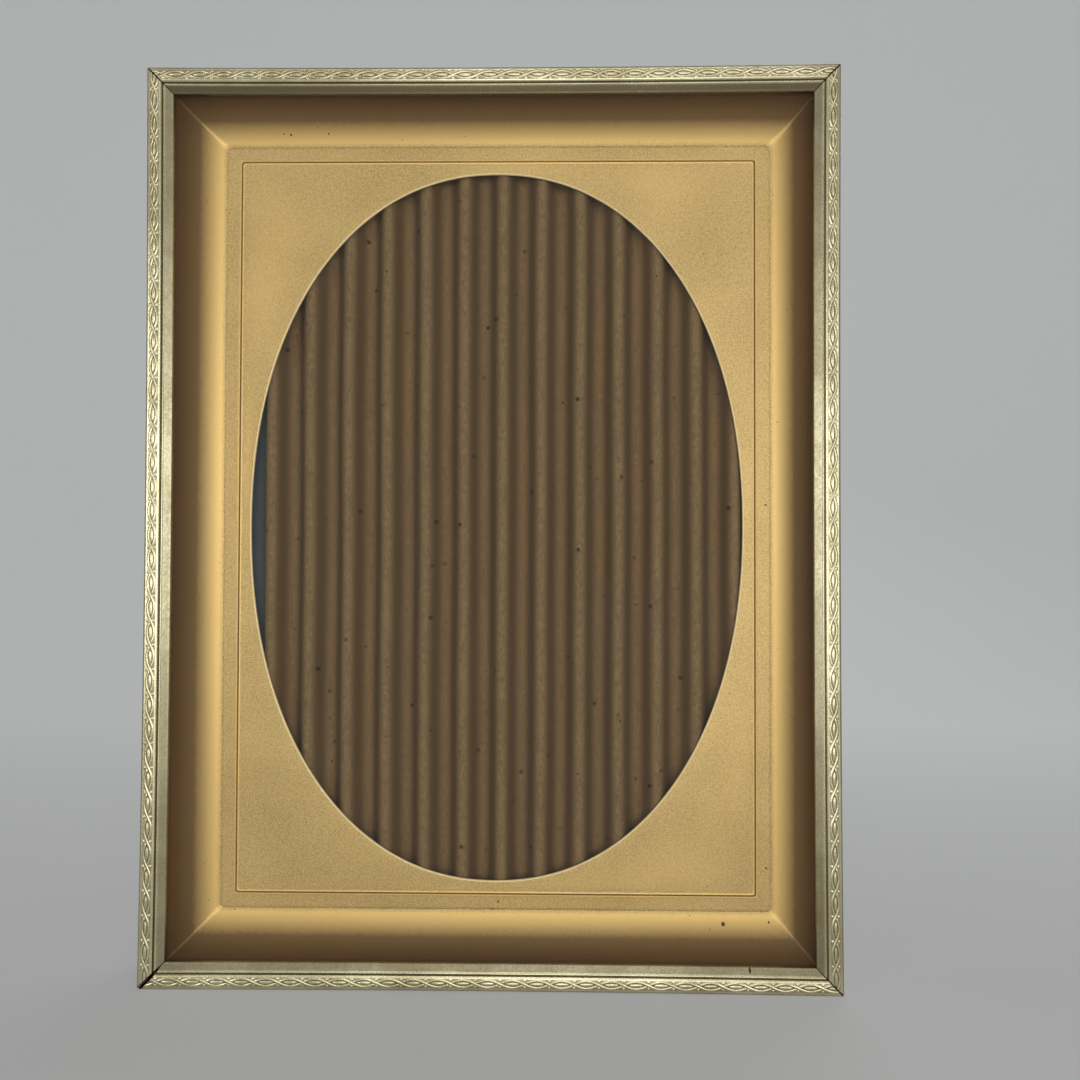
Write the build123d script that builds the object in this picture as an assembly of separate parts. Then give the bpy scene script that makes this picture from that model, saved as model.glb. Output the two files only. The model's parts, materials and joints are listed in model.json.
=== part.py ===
# Table-top picture frame: mitred sheet-metal rails, glass, a coved mat with an oval window,
# a corrugated filler, a back board held by turn buttons, and an easel strut.
# X runs to the right, Y from the front to the back and Z up. The frame stands on its bottom rail,
# and the origin is the middle of that rail's underside.
import math
import os

from build123d import *

# Outside of the frame
outer_width = 156.5
outer_height = 207.0

# Rail section, from the outside wall in to the sight edge
sheet = 0.5
rim_radius = 0.7
band_width = 2.2
band_crown = 0.25
bead_width = 0.5
bead_drop = 0.08
groove_width = 0.35
groove_depth = 0.8
strip_start = 0.45
strip_width = 2.05
strip_drop = 1.25
lip_depth = 2.4
flange_width = 3.4
return_lip = 6.0
mitre_gap = 0.1

# Corner keys in the rails' back channels
key_leg = 18.0
key_height = 5.0
key_fit = 0.1

# Glass and mat
glass_thick = 2.0
glass_clearance = 0.35
mat_thick = 0.9
mat_rim = 0.6
scoop_width = 11.0
scoop_depth = 8.0
scoop_sag = 1.3
oval_margin_x = 6.35
oval_margin_z = 6.2
oval_roll = 0.4
score_inset = 3.4
score_width = 0.5
score_depth = 0.2

# Corrugated filler behind the mat, slipped to the right
picture_gap = 0.4
flute_pitch = 9.1
flute_height = 4.5
flute_radius = 1.6
flute_paper = 0.35
liner_thick = 0.4
filler_side_gap = 2.2

# Back board and turn buttons
board_thick = 2.8
button_thick = 0.6
button_gap = 0.1
button_end_radius = 1.65
button_reach = 9.5
button_spacing = 100.0
button_rivet_radius = 0.8
button_rivet_head_radius = 1.6
button_rivet_head = 0.5
button_rivet_tail_radius = 1.1
button_rivet_tail = 0.4

# Easel strut and its hinge
hinge_drop = 47.0
hinge_width = 30.0
centre_knuckle = 14.0
knuckle_gap = 0.25
pin_radius = 0.9
running_clearance = 0.05
leaf_thick = 0.6
leaf_length = 16.0
leaf_relief = 0.35
stop_length = 4.5
stop_gap = 0.1
open_angle = 30.0
strut_thick = 2.2
strut_top_width = 38.0
strut_foot_width = 62.0
strut_foot_gap = 5.0
strut_corner = 4.0
leaf_rivet_radius = 1.2
leaf_rivet_head_radius = 2.4
leaf_rivet_head = 0.8
leaf_rivet_inset = 5.0
rivet_clearance = 0.05
rivet_crown = 0.6

# Hanging plates
plate_thick = 0.8
plate_width = 11.0
plate_corner = 4.95
plate_foot = 8.0
plate_joggle_run = 2.5
plate_joggle_rise = 2.4
plate_eye_length = 10.0
plate_eye_radius = 3.0
plate_edge_gap = 3.0

# Places that follow from the sizes above
middle_height = outer_height / 2
rail_face = rim_radius + band_width + bead_width + groove_width + strip_width
glass_front = lip_depth
mat_front = glass_front + glass_thick
panel_front = mat_front + scoop_depth
panel_back = panel_front + mat_thick
flute_front = panel_back + picture_gap
liner_front = flute_front + flute_height
board_front = liner_front + liner_thick
board_back = board_front + board_thick
rail_depth = board_back
inner_width = outer_width - 2 * (flange_width + glass_clearance)
inner_height = outer_height - 2 * (flange_width + glass_clearance)
panel_width = inner_width - 2 * scoop_width
panel_height = inner_height - 2 * scoop_width
knuckle_radius = pin_radius + running_clearance + leaf_thick
hinge_height = outer_height - hinge_drop
pin_depth = board_back + knuckle_radius
leaf_back = pin_depth + knuckle_radius
strut_back = leaf_back - leaf_thick
strut_front = strut_back - strut_thick


def depth(v):
    # Y of a point that lies v behind the frame's front plane.
    return v - rail_depth / 2


def slab(sketch, front, back):
    # A flat piece drawn in X and Z that reaches from one depth to another.
    return Pos(0, depth(back), 0) * extrude(Plane.XZ * sketch, back - front)


def bar(section, left, right):
    # A straight piece along X whose section is drawn in Y and Z.
    return Pos(left, 0, 0) * extrude(Plane.YZ * section, right - left)


def mitred_bars(section, width, height, reach, gap):
    # Four bars with one section, mitred round a rectangle that stands on Z = 0 at first.
    # The section's second direction runs inwards from the rectangle's edge.
    setback = gap / math.sqrt(2)
    bars = {}
    sides = {
        "bottom": (width, Pos(0, 0, 0)),
        "top": (width, Pos(0, 0, height) * Rot(0, 180, 0)),
        "left": (height, Pos(-width / 2, 0, height / 2) * Rot(0, 90, 0)),
        "right": (height, Pos(width / 2, 0, height / 2) * Rot(0, -90, 0)),
    }
    for side, (length, place) in sides.items():
        half = length / 2 - setback
        outline = make_face(
            Polyline((-half, 0), (half, 0), (half - reach, reach), (reach - half, reach), close=True)
        )
        wedge = slab(outline, -rail_depth, 2 * rail_depth)
        bars[side] = place * (bar(section, -length / 2, length / 2) & wedge)
    return bars


def rail_section():
    # Outline of the formed sheet, as depth and distance in from the outside wall.
    band_start = rim_radius
    bead_start = band_start + band_width
    groove_start = bead_start + bead_width
    strip_edge = groove_start + groove_width
    sight_depth = strip_start + strip_drop
    hidden_band = band_crown + sheet
    hidden_groove = groove_depth + sheet
    hidden_sight = sight_depth - strip_drop * sheet / strip_width + sheet
    rim_middle = rim_radius * (1 - math.sqrt(0.5))

    def point(v, u):
        return (depth(v), u)

    front = [
        Line(point(rail_depth, 0), point(band_crown + rim_radius, 0)),
        ThreePointArc(
            point(band_crown + rim_radius, 0),
            point(band_crown + rim_middle, rim_middle),
            point(band_crown, band_start),
        ),
        ThreePointArc(
            point(band_crown, band_start),
            point(0, (band_start + bead_start) / 2),
            point(band_crown, bead_start),
        ),
        ThreePointArc(
            point(band_crown, bead_start),
            point(bead_drop, (bead_start + groove_start) / 2),
            point(strip_start, groove_start),
        ),
    ]
    rest = Polyline(
        point(strip_start, groove_start),
        point(groove_depth, groove_start),
        point(groove_depth, strip_edge),
        point(strip_start, strip_edge),
        point(sight_depth, rail_face),
        point(lip_depth, rail_face),
        point(lip_depth, rail_face - sheet),
        point(hidden_sight, rail_face - sheet),
        point(hidden_groove, strip_edge),
        point(hidden_groove, bead_start),
        point(hidden_band + rim_middle, sheet + rim_middle),
        point(hidden_band + rim_radius, sheet),
        point(rail_depth - sheet, sheet),
        point(rail_depth - sheet, flange_width - sheet),
        point(rail_depth - return_lip, flange_width - sheet),
        point(rail_depth - return_lip, flange_width),
        point(rail_depth, flange_width),
        point(rail_depth, 0),
    )
    return make_face(Curve() + front + rest)


def button_places():
    # Pivot of each turn button and the way that it points when it holds the back in.
    across = outer_width / 2 - flange_width / 2
    up = button_spacing / 2
    return {
        "turn_button_left_upper": (-across, middle_height + up, 1),
        "turn_button_left_lower": (-across, middle_height - up, 1),
        "turn_button_right_upper": (across, middle_height + up, -1),
        "turn_button_right_lower": (across, middle_height - up, -1),
    }


def rails():
    made = {}
    for side, rail in mitred_bars(rail_section(), outer_width, outer_height, rail_face, mitre_gap).items():
        for x, z, _ in button_places().values():
            hole = Pos(x, z) * Circle(button_rivet_radius + rivet_clearance)
            rail = rail - slab(hole, rail_depth - 2 * sheet, rail_depth + sheet)
        made[side + "_rail"] = rail
    return made


def corner_keys():
    near = sheet + key_fit
    far = flange_width - sheet - key_fit
    end = near + key_leg
    made = {}
    for row, z_edge, up in (("bottom", 0, 1), ("top", outer_height, -1)):
        for column, across in (("left", 1), ("right", -1)):
            x_edge = -across * outer_width / 2
            corners = [(near, near), (end, near), (end, far), (far, far), (far, end), (near, end)]
            outline = Polyline([(x_edge + across * a, z_edge + up * b) for a, b in corners], close=True)
            back = rail_depth - sheet
            made[f"corner_key_{row}_{column}"] = slab(make_face(outline), back - key_height, back)
    return made


def glass_pane():
    return slab(Pos(0, middle_height) * Rectangle(inner_width, inner_height), glass_front, mat_front)


def scoop_mat():
    def point(v, u):
        return (depth(v), u)

    run = scoop_width - mat_rim
    chord = math.hypot(run, scoop_depth)
    sag_depth = scoop_depth / 2 + scoop_sag * run / chord
    sag_in = mat_rim + run / 2 - scoop_sag * scoop_depth / chord
    slope = [
        Line(point(mat_front, 0), point(mat_front, mat_rim)),
        ThreePointArc(
            point(mat_front, mat_rim),
            point(mat_front + sag_depth, sag_in),
            point(panel_front, scoop_width),
        ),
        Line(point(panel_front, scoop_width), point(panel_back, scoop_width)),
        ThreePointArc(
            point(panel_back, scoop_width),
            point(mat_front + mat_thick + sag_depth, sag_in),
            point(mat_front + mat_thick, mat_rim),
        ),
        Line(point(mat_front + mat_thick, mat_rim), point(mat_front + mat_thick, 0)),
        Line(point(mat_front + mat_thick, 0), point(mat_front, 0)),
    ]
    section = make_face(Curve() + slope)
    sides = mitred_bars(section, inner_width, inner_height, scoop_width, 0)
    lift = Pos(0, 0, (outer_height - inner_height) / 2)
    centre = Pos(0, middle_height)
    mat = slab(centre * Rectangle(panel_width, panel_height), panel_front, panel_back)
    for side in sides.values():
        mat = mat + lift * side
    oval = centre * Ellipse(panel_width / 2 - oval_margin_x, panel_height / 2 - oval_margin_z)
    mat = mat - slab(oval, panel_front - scoop_depth, panel_back + mat_thick)
    rim_edges = mat.edges().filter_by(GeomType.ELLIPSE).group_by(Axis.Y)[0]
    mat = fillet(rim_edges, min(oval_roll, mat_thick / 2))
    score_outer = Rectangle(panel_width - 2 * score_inset, panel_height - 2 * score_inset)
    inside = 2 * (score_inset + score_width)
    score_inner = Rectangle(panel_width - inside, panel_height - inside)
    return mat - slab(centre * (score_outer - score_inner), panel_front - mat_thick, panel_front + score_depth)


def filler_centre():
    # The filler leans on the right, a little short of that rail's return lip.
    return outer_width / 2 - flange_width - filler_side_gap - panel_width / 2


def corrugated_flutes():
    # One folded sheet: round crests and valleys with straight flanks between them.
    wave = flute_height - flute_paper
    half_pitch = flute_pitch / 2
    rise = wave - 2 * flute_radius
    reach = math.hypot(rise, half_pitch)
    flank = math.asin(2 * flute_radius / reach) + math.atan2(rise, half_pitch)
    halves = int((panel_width - 2 * flute_radius) / half_pitch) + 1
    start = filler_centre() - panel_width / 2 + flute_radius
    middle = flute_front + flute_height / 2

    def skin(offset):
        edges = []
        last = None
        for k in range(halves):
            crest = 1 if k % 2 == 0 else -1
            x = start + k * half_pitch
            y = depth(middle - crest * (wave / 2 - flute_radius))
            radius = flute_radius + crest * offset
            lean = radius * math.sin(flank)
            stand = crest * radius * math.cos(flank)
            first, top, end = (x - lean, y - stand), (x, y - crest * radius), (x + lean, y - stand)
            if last:
                edges.append(Line(last, first))
            edges.append(ThreePointArc(first, top, end))
            last = end
        return edges

    outer = skin(flute_paper / 2)
    inner = skin(-flute_paper / 2)
    ends = [Line(outer[0] @ 0, inner[0] @ 0), Line(outer[-1] @ 1, inner[-1] @ 1)]
    sheet_face = make_face(Curve() + outer + inner + ends)
    return Pos(0, 0, middle_height - panel_height / 2) * extrude(sheet_face, panel_height)


def corrugated_liner():
    outline = Pos(filler_centre(), middle_height) * Rectangle(panel_width, panel_height)
    return slab(outline, liner_front, board_front)


def rivet(x, z, front, seat, radius, head_radius, head):
    # Round-headed rivet whose shank runs from a front depth to the seat under its head.
    # The crown is the share of the head's height that is rounded off.
    place = Pos(x, z)
    shank = slab(place * Circle(radius), front, seat)
    cap = slab(place * Circle(head_radius), seat, seat + head)
    cap = fillet(cap.edges().group_by(Axis.Y)[-1], rivet_crown * head)
    return shank + cap


def leaf_rivet(x, z, front, seat):
    return rivet(x, z, front, seat, leaf_rivet_radius, leaf_rivet_head_radius, leaf_rivet_head)


def rivet_holes(places, front, back):
    holes = Sketch()
    for x, z in places:
        holes += Pos(x, z) * Circle(leaf_rivet_radius + rivet_clearance)
    return slab(holes, front, back)


def board_rivet_places():
    across = hinge_width / 2 - leaf_rivet_inset
    height = hinge_height + leaf_length - leaf_rivet_inset
    return [(-across, height), (across, height)]


def strut_rivet_places():
    across = hinge_width / 2 - leaf_rivet_inset
    height = hinge_height - leaf_length + leaf_rivet_inset
    return [(-across, height), (across, height)]


def hanger_places():
    # Eye end of each hanging plate, which points to the nearer edge of the board, and its turn.
    edge = inner_height / 2 - plate_edge_gap
    side = inner_width / 2 - plate_edge_gap
    return {
        "hanger_plate_top": Pos(0, 0, middle_height + edge),
        "hanger_plate_side": Pos(-side, 0, middle_height) * Rot(0, -90, 0),
    }


def hanger_length():
    return plate_foot + plate_joggle_run + plate_eye_length


def hanger_rivet_places():
    # The foot's rivet sits in the middle of the foot.
    drop = hanger_length() - plate_foot / 2
    spots = []
    for place in hanger_places().values():
        spot = (place * Pos(0, 0, -drop)).position
        spots.append((spot.X, spot.Z))
    return spots


def back_board():
    board = slab(Pos(0, middle_height) * Rectangle(inner_width, inner_height), board_front, board_back)
    spots = board_rivet_places() + hanger_rivet_places()
    return board - rivet_holes(spots, board_front - sheet, board_back + sheet)


def turn_buttons():
    front = board_back + button_gap
    made = {}
    for name, (x, z, way) in button_places().items():
        plate = Pos(x + way * button_reach / 2, z) * SlotCenterToCenter(button_reach, 2 * button_end_radius)
        hole = Pos(x, z) * Circle(button_rivet_radius + running_clearance)
        made[name] = slab(plate - hole, front, front + button_thick)
    return made


def turn_button_rivets():
    seat = board_back + button_thick + 2 * button_gap
    flange_inside = rail_depth - sheet
    group = []
    for x, z, _ in button_places().values():
        body = rivet(
            x, z, flange_inside, seat, button_rivet_radius, button_rivet_head_radius, button_rivet_head
        )
        tail = Pos(x, z) * Circle(button_rivet_tail_radius)
        group.append(body + slab(tail, flange_inside - button_rivet_tail, flange_inside))
    return Compound(children=group)


def pin_spot():
    return Pos(depth(pin_depth), hinge_height)


def knuckle_section():
    return pin_spot() * (Circle(knuckle_radius) - Circle(pin_radius + running_clearance))


def leaf_strip(front, low, high):
    # Section of a flat leaf between two heights.
    return Pos(depth(front + leaf_thick / 2), (low + high) / 2) * Rectangle(leaf_thick, high - low)


def hinge_fixed_leaf():
    top = hinge_height + leaf_length
    bore = pin_spot() * Circle(pin_radius + running_clearance)
    ear = leaf_strip(board_back, hinge_height, top) + knuckle_section() - bore
    web = leaf_strip(board_back, hinge_height + knuckle_radius + leaf_relief, top)
    inner_end = centre_knuckle / 2 + knuckle_gap
    leaf = bar(ear, -hinge_width / 2, -inner_end) + bar(ear, inner_end, hinge_width / 2)
    leaf = leaf + bar(web, -inner_end, inner_end)
    return leaf - rivet_holes(board_rivet_places(), board_back - sheet, board_back + 2 * leaf_thick)


def hinge_moving_leaf():
    # The tongue above the pin meets the fixed leaf when the strut is fully open.
    low = hinge_height - leaf_length
    tongue_low = pin_radius + running_clearance
    tongue_front = leaf_thick - knuckle_radius + stop_gap
    tongue = Pos(tongue_front + leaf_thick / 2, (tongue_low + stop_length) / 2) * Rectangle(
        leaf_thick, stop_length - tongue_low
    )
    tongue = pin_spot() * Rot(0, 0, -open_angle) * tongue
    bore = pin_spot() * Circle(pin_radius + running_clearance)
    centre = leaf_strip(strut_back, low, hinge_height) + knuckle_section() + tongue - bore
    wide = leaf_strip(strut_back, low, hinge_height - knuckle_radius - leaf_relief)
    leaf = bar(centre, -centre_knuckle / 2, centre_knuckle / 2)
    leaf = leaf + bar(wide, -hinge_width / 2, hinge_width / 2)
    return leaf - rivet_holes(strut_rivet_places(), strut_back - sheet, strut_back + 2 * leaf_thick)


def hinge_pin():
    return bar(pin_spot() * Circle(pin_radius), -hinge_width / 2, hinge_width / 2)


def easel_strut():
    top = hinge_height - knuckle_radius - leaf_relief
    half_top = strut_top_width / 2
    half_foot = strut_foot_width / 2
    corners = [(-half_foot, strut_foot_gap), (half_foot, strut_foot_gap), (half_top, top), (-half_top, top)]
    outline = make_face(Polyline(corners, close=True))
    outline = fillet(outline.vertices(), strut_corner)
    return slab(outline, strut_front, strut_back) - rivet_holes(
        strut_rivet_places(), strut_front - sheet, strut_back + sheet
    )


def rivet_group(places, front, seat):
    return Compound(children=[leaf_rivet(x, z, front, seat) for x, z in places])


def hanger_plate():
    # The eye stands clear of the board so that a nail's head fits behind it. Its end is at Z = 0.
    eye_low = -plate_eye_length
    foot_top = eye_low - plate_joggle_run
    foot_low = -hanger_length()
    near = board_back
    far = board_back + plate_joggle_rise
    profile = Polyline(
        (depth(near), foot_low),
        (depth(near), foot_top),
        (depth(far), eye_low),
        (depth(far), 0),
        (depth(far + plate_thick), 0),
        (depth(far + plate_thick), eye_low),
        (depth(near + plate_thick), foot_top),
        (depth(near + plate_thick), foot_low),
        close=True,
    )
    strip = bar(make_face(profile), -plate_width / 2, plate_width / 2)
    corner = min(plate_corner, plate_width / 2 - sheet)
    outline = Pos(0, foot_low / 2) * RectangleRounded(plate_width, -foot_low, corner)
    eye = Pos(0, -plate_eye_length / 2) * Circle(plate_eye_radius)
    foot_hole = Pos(0, foot_low + plate_foot / 2) * Circle(leaf_rivet_radius + rivet_clearance)
    return strip & slab(outline - eye - foot_hole, near - plate_thick, far + 2 * plate_thick)


def hanger_plates():
    return {name: place * hanger_plate() for name, place in hanger_places().items()}


def build_nodes():
    nodes = {}
    nodes.update(rails())
    nodes.update(corner_keys())
    nodes["glass_pane"] = glass_pane()
    nodes["scoop_mat"] = scoop_mat()
    nodes["corrugated_flutes"] = corrugated_flutes()
    nodes["corrugated_liner"] = corrugated_liner()
    nodes["back_board"] = back_board()
    nodes.update(turn_buttons())
    nodes["turn_button_rivets"] = turn_button_rivets()
    nodes["easel_strut"] = easel_strut()
    nodes["hinge_fixed_leaf"] = hinge_fixed_leaf()
    nodes["hinge_moving_leaf"] = hinge_moving_leaf()
    nodes["hinge_pin"] = hinge_pin()
    nodes["hinge_board_rivets"] = rivet_group(board_rivet_places(), board_front, board_back + leaf_thick)
    nodes["hinge_strut_rivets"] = rivet_group(strut_rivet_places(), strut_front, leaf_back)
    nodes.update(hanger_plates())
    nodes["hanger_rivets"] = rivet_group(hanger_rivet_places(), board_front, board_back + plate_thick)
    return nodes


os.makedirs("parts", exist_ok=True)
for node_name, shape in build_nodes().items():
    export_step(shape, f"parts/{node_name}.step")
print("overall rail depth", round(rail_depth, 2), "panel", round(panel_width, 2), round(panel_height, 2))
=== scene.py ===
import json
import math

import bmesh
import bpy
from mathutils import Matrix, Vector, noise

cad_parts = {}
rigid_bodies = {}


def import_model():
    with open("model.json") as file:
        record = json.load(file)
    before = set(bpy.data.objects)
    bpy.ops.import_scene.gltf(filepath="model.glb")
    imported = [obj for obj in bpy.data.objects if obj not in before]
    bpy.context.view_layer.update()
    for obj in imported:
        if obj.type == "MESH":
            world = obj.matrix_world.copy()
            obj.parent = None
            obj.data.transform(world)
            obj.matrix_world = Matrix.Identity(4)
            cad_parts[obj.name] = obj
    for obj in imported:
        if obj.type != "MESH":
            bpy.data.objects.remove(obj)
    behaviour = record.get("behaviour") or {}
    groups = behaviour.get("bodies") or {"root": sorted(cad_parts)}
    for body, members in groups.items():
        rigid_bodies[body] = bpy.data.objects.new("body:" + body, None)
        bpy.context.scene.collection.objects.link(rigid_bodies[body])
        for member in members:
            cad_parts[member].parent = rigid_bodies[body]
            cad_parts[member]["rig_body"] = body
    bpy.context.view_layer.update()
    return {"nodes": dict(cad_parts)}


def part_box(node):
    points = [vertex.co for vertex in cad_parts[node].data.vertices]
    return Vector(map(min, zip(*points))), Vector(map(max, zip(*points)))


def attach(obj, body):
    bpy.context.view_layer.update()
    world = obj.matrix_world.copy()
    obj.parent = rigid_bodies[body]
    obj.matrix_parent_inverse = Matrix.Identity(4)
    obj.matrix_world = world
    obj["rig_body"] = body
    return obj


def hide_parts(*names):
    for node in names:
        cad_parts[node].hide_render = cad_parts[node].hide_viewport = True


mm = 0.001
weld = 0.001 * mm

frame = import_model()
nodes = frame["nodes"]
print("frame loaded,", len(nodes), "nodes")

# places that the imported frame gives
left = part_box("left_rail")[0].x
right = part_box("right_rail")[1].x
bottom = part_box("bottom_rail")[0].z
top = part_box("top_rail")[1].z
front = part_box("left_rail")[0].y
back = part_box("left_rail")[1].y
middle = (bottom + top) / 2
railDeep = back - front
matLow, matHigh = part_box("scoop_mat")
fluteLow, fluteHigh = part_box("corrugated_flutes")
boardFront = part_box("back_board")[0].y


# shader helper: one output socket, whose sums and products add Math nodes
class Wire:
    def __init__(self, tree, socket):
        self.tree = tree
        self.socket = socket

    def node(self, kind, settings=None, values=None, out=0):
        made = self.tree.nodes.new(kind)
        for name, value in (settings or {}).items():
            setattr(made, name, value)
        for name, value in (values or {}).items():
            if isinstance(value, Wire):
                self.tree.links.new(value.socket, made.inputs[name])
            else:
                made.inputs[name].default_value = value
        return Wire(self.tree, made.outputs[out])

    def maths(self, operation, first, second):
        return self.node("ShaderNodeMath", {"operation": operation}, {0: first, 1: second})

    def __add__(self, other):
        return self.maths("ADD", self, other)

    def __radd__(self, other):
        return self.maths("ADD", other, self)

    def __sub__(self, other):
        return self.maths("SUBTRACT", self, other)

    def __rsub__(self, other):
        return self.maths("SUBTRACT", other, self)

    def __mul__(self, other):
        return self.maths("MULTIPLY", self, other)

    def __rmul__(self, other):
        return self.maths("MULTIPLY", other, self)

    def larger(self, other):
        return self.maths("MAXIMUM", self, other)

    # grain of a given size in metres, about 0.5 on average
    def grain(self, size, detail=2.0, rough=0.5):
        return self.node(
            "ShaderNodeTexNoise", None,
            {"Vector": self, "Scale": 1 / size, "Detail": detail, "Roughness": rough},
        )

    # pattern space stretched by dividing each direction
    def stretched(self, x, y, z):
        return self.node("ShaderNodeMapping", None, {"Vector": self, "Scale": (1 / x, 1 / y, 1 / z)})

    # 1 in scattered round dots; spacing and radius in metres
    def dots(self, spacing, radius):
        away = self.node("ShaderNodeTexVoronoi", None, {"Vector": self, "Scale": 1 / spacing})
        return away.fade(radius / spacing, 0.6 * radius / spacing)

    # 1 in flecks scattered over a sheet that faces forwards
    def flecks(self, spacing, radius):
        sheet = self.node("ShaderNodeMapping", None, {"Vector": self, "Rotation": (math.pi / 2, 0, 0)})
        away = sheet.node(
            "ShaderNodeTexVoronoi", {"voronoi_dimensions": "2D"}, {"Vector": sheet, "Scale": 1 / spacing}
        )
        return away.fade(radius / spacing, 0.5 * radius / spacing)

    # distance back along the part's depth
    def depth(self):
        return self.node("ShaderNodeSeparateXYZ", None, {0: self}, out="Y")

    # 0 at low and 1 at high, held outside
    def fade(self, low, high):
        return self.node("ShaderNodeMapRange", None, {"Value": self, "From Min": low, "From Max": high})

    # 1 within a radius of a point
    def near(self, point, radius):
        away = self.node(
            "ShaderNodeVectorMath", {"operation": "DISTANCE"}, {0: self, 1: tuple(point)}, out=1
        )
        return away.fade(radius, 0.6 * radius)

    # 1 in one blot on a sheet that faces forwards, perhaps taller than wide
    def blot(self, x, z, radius, tall=1):
        return self.stretched(1, 1000, tall).near((x, 0, z / tall), radius)

    def blend(self, colourAtNought, colourAtOne):
        return self.node(
            "ShaderNodeMix", {"data_type": "RGBA"}, {0: self, 6: colourAtNought, 7: colourAtOne}, out=2
        )

    def bumped(self, height):
        return self.node("ShaderNodeBump", None, {"Height": self, "Distance": height})

    def attribute(self, name):
        return self.node("ShaderNodeAttribute", {"attribute_name": name}, out=2)

    def into(self, shader, name):
        self.tree.links.new(self.socket, shader.inputs[name])


# a new material: constants go straight onto the Principled shader's sockets
def newFinish(name, **constants):
    material = bpy.data.materials.new(name)
    material.use_nodes = True
    tree = material.node_tree
    shader = tree.nodes["Principled BSDF"]
    for socket, value in constants.items():
        shader.inputs[socket.replace("_", " ")].default_value = value
    place = tree.nodes.new("ShaderNodeTexCoord")
    return material, shader, Wire(tree, place.outputs["Object"])


def tint(red, green, blue):
    return (red, green, blue, 1)


brassLook = {
    "bright": tint(0.88, 0.81, 0.53),
    "wearAndPaintedShade": tint(0.60, 0.53, 0.30),
    # colour of the hollows: some patina, and painted shade where the relief is low
    "recess": tint(0.18, 0.15, 0.088),
    "speck": tint(0.05, 0.04, 0.02),
    # grain sizes and the depth of the bump, in millimetres
    "cloud": 13,
    "grit": 0.5,
    "bump": 0.006,
    # pinholes: spacing, radius, and the size of the patches that have them
    "pinhole": (7, 0.16, 20),
    # one dark tick on the bottom strip: across, up, radius, and how much taller than wide
    "tick": (57.7, 5.3, 0.3, 2.6),
    "rough": 0.35,
}


def brassFinish(look):
    material, shader, place = newFinish("brassSkin", Metallic=1.0)
    cloud = place.grain(look["cloud"] * mm, 5, 0.6).fade(0.3, 0.7)
    grit = place.grain(look["grit"] * mm, 3).fade(0.35, 0.7)
    raised = place.attribute("relief")
    # the relief tone paints highlight on the raised parts and shade, with some patina, in the hollows; cloud
    # and grit add wear
    cleanAndLit = (raised * 1.05 + cloud * 0.12 - grit * 0.16).fade(0.05, 0.95)
    spacing, radius, patch = look["pinhole"]
    nick = place.dots(spacing * mm, radius * mm) * place.grain(patch * mm).fade(0.52, 0.56)
    across, up, radius, tall = look["tick"]
    nick = nick.larger(place.blot(across * mm, bottom + up * mm, radius * mm, tall))
    skin = cloud.blend(look["wearAndPaintedShade"], look["bright"])
    skin = cleanAndLit.blend(look["recess"], skin)
    nick = nick.larger(raised.fade(0, -0.6))  # soot in the mitres
    nick.blend(skin, look["speck"]).into(shader, "Base Color")
    (look["rough"] - cleanAndLit * 0.1 + grit * 0.06 + nick * 0.3).into(shader, "Roughness")
    (grit * 0.6 + cloud).bumped(look["bump"] * mm).into(shader, "Normal")
    return material


giltLook = {
    "pale": tint(0.76, 0.515, 0.207),
    "deep": tint(0.42, 0.262, 0.086),
    # painted highlight: the bright band at the foot of the slopes and on the score's lips
    "paintedSheen": tint(0.91, 0.59, 0.205),
    # painted shade partway up the slopes
    "paintedSlopeShade": tint(0.21, 0.12, 0.04),
    # painted shade up the slopes near the rails and in the score's floor
    "paintedRailShade": tint(0.135, 0.061, 0.01),
    # painted highlight on the rolled rim of the oval
    "cut": tint(0.86, 0.66, 0.36),
    "fox": tint(0.10, 0.055, 0.02),
    # grain sizes and the depth of the bump, in millimetres
    "cloud": 22,
    "mottle": 0.6,
    "grain": 0.28,
    "sparkle": 0.16,
    "bump": 0.05,
    "rough": 0.29,
    # larger specks: across, up and radius
    "spots": (
        (53.3, 12.1, 0.55), (63.4, 24.7, 0.3), (63.8, 12.5, 0.3), (1.4, 16.5, 0.3), (0.0, 14.8, 0.25),
        (-48.0, 195.6, 0.3), (-39.1, 195.8, 0.24), (-49.6, 195.8, 0.2), (63.4, 108.7, 0.3),
    ),
}


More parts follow.
